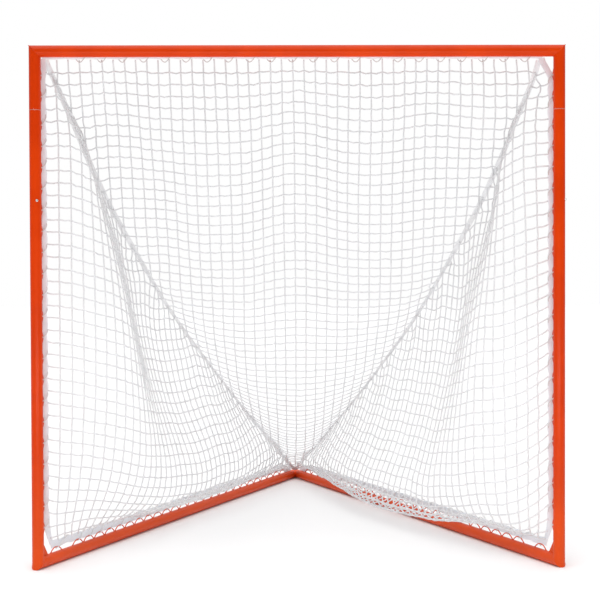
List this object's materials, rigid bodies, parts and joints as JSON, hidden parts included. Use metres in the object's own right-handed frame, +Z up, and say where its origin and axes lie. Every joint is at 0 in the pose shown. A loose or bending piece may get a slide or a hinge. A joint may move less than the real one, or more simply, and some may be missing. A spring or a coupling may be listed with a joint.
{
  "type": "lacrosse goal with net",
  "caption": "Full-size lacrosse goal: round tube frame with a V of ground rails, a removable top section and a hanging square-mesh net.",
  "frame": {"origin": "on the ground, on the goal line midway between the posts", "axes": "+Z up, -Y out of the mouth, +Y towards the apex of the ground rails, +X to the right seen from the front"},
  "size_m": [1.9169, 2.2105, 1.871],
  "materials": {
    "orange_powder_coat": "gloss",
    "zinc_plated_steel": "satin",
    "net_cord": "matte",
    "white_webbing": "matte"
  },
  "bodies": {
    "goal": {"crossbar_tube": "orange_powder_coat", "left_corner_stub": "orange_powder_coat", "left_post_tube": "orange_powder_coat", "left_ground_rail": "orange_powder_coat", "left_foot_gusset": "orange_powder_coat", "left_stub_lacing_hoops": "orange_powder_coat", "left_post_lacing_hoops": "orange_powder_coat", "left_rail_lacing_hoops": "orange_powder_coat", "left_joint_sleeve": "zinc_plated_steel", "left_leaf_spring": "zinc_plated_steel", "left_saddle_washer": "zinc_plated_steel", "left_net_panel": "net_cord", "left_seam_webbing": "white_webbing", "left_post_hem_tape": "white_webbing", "left_rail_hem_tape": "white_webbing", "left_rail_lacing_cord": "net_cord", "right_corner_stub": "orange_powder_coat", "right_post_tube": "orange_powder_coat", "right_ground_rail": "orange_powder_coat", "right_foot_gusset": "orange_powder_coat", "right_stub_lacing_hoops": "orange_powder_coat", "right_post_lacing_hoops": "orange_powder_coat", "right_rail_lacing_hoops": "orange_powder_coat", "right_joint_sleeve": "zinc_plated_steel", "right_leaf_spring": "zinc_plated_steel", "right_saddle_washer": "zinc_plated_steel", "right_net_panel": "net_cord", "right_seam_webbing": "white_webbing", "right_post_hem_tape": "white_webbing", "right_rail_hem_tape": "white_webbing", "right_rail_lacing_cord": "net_cord", "crossbar_lacing_hoops": "orange_powder_coat", "crossbar_lacing_cord": "net_cord", "crossbar_hem_tape": "white_webbing", "back_net_panel": "net_cord", "apex_bolt": "zinc_plated_steel", "apex_nut": "zinc_plated_steel"},
    "left_button": {"left_snap_button": "zinc_plated_steel"},
    "right_button": {"right_snap_button": "zinc_plated_steel"}
  },
  "joints": [
    {"name": "left_button_press", "type": "slide", "parent": "goal", "child": "left_button", "axis": [-0.375, 0.927, 0], "range_m": [0, 0.0072], "stiffness_N_per_m": 1500, "springref_m": -0.001, "deforming": ["left_leaf_spring"]},
    {"name": "right_button_press", "type": "slide", "parent": "goal", "child": "right_button", "axis": [-0.9359, 0.3522, 0], "range_m": [0, 0.0072], "stiffness_N_per_m": 1500, "springref_m": -0.001, "deforming": ["right_leaf_spring"]}
  ]
}
